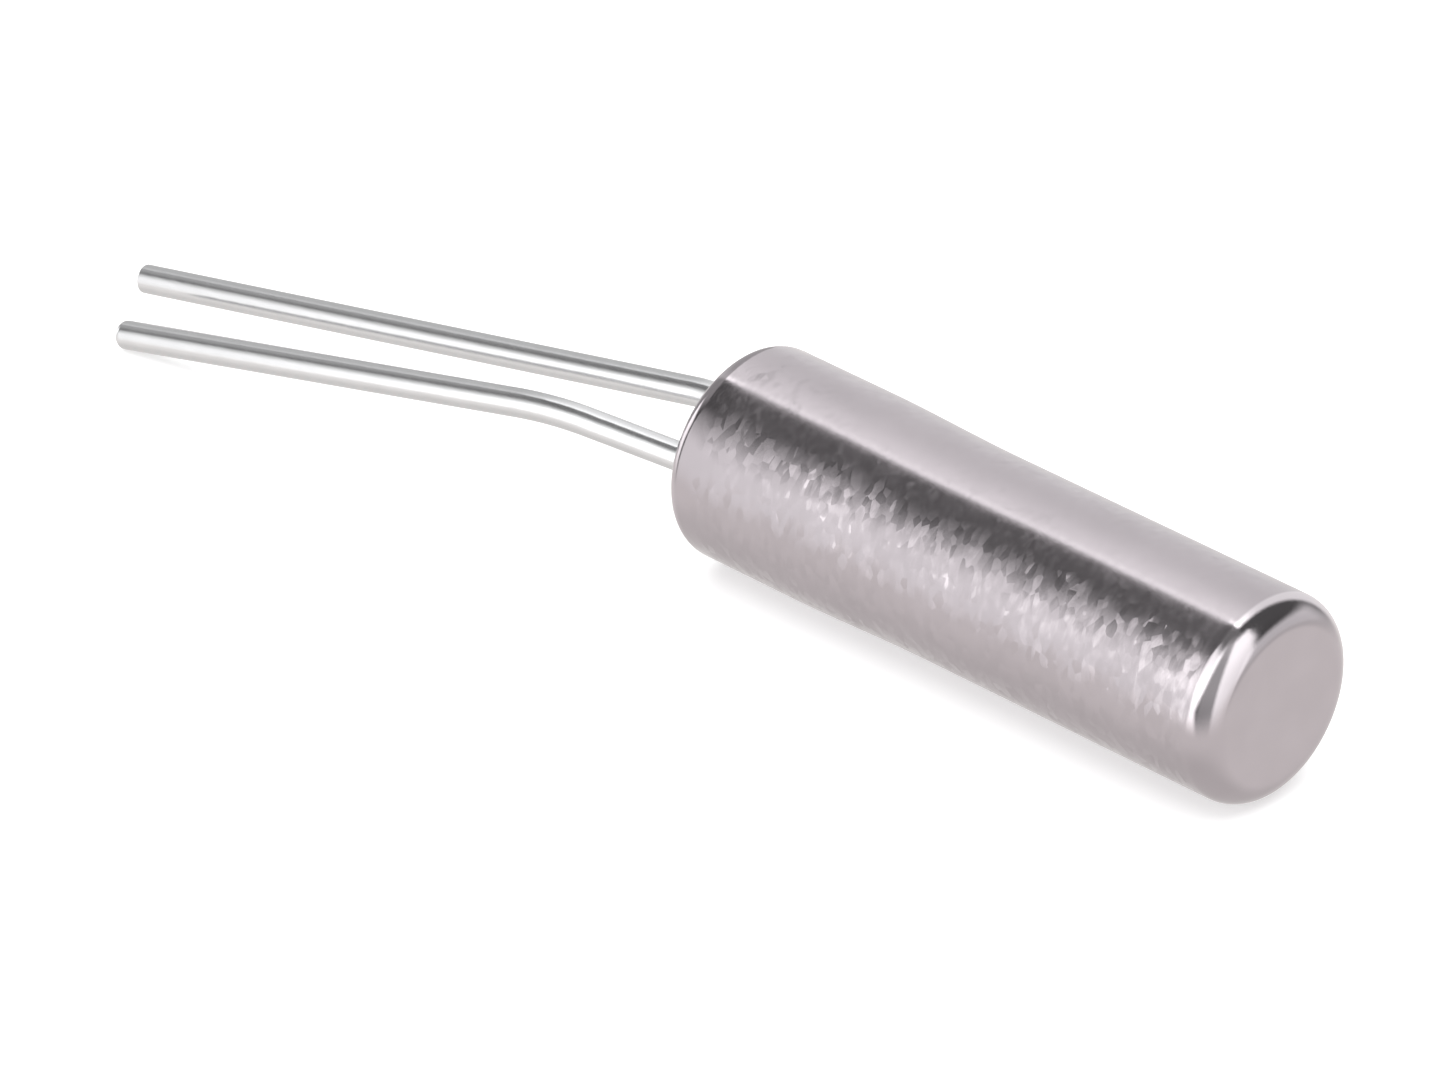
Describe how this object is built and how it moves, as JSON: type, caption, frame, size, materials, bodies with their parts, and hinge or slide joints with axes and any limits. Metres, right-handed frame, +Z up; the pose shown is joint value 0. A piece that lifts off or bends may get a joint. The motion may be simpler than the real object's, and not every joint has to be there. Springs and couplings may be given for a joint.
{
  "type": "quartz crystal resonator",
  "caption": "Cylindrical metal-can quartz crystal lying on its side, with a rounded closed end, a glass-sealed base and bent tinned wire leads.",
  "frame": {"origin": "on the can's axis, halfway along the can", "axes": "+X along the can's axis towards its closed end, +Z up with the part lying on its side"},
  "size_m": [0.0209, 0.004, 0.0032],
  "materials": {
    "can_metal": "satin nickel silver, finely mottled from drawing",
    "ring_metal": "tin-plated, satin",
    "seal_glass": "dark sealing glass, glossy",
    "lead_tin": "bright tinned wire",
    "quartz": "lapped quartz with thin metal electrodes",
    "adhesive": "silver-filled adhesive, dull"
  },
  "bodies": {
    "root": {"can": "can_metal", "base_ring": "ring_metal", "glass_seal": "seal_glass", "lead_front": "lead_tin", "lead_rear": "lead_tin", "quartz_blank": "quartz", "adhesive_front": "adhesive", "adhesive_rear": "adhesive"}
  },
  "joints": []
}
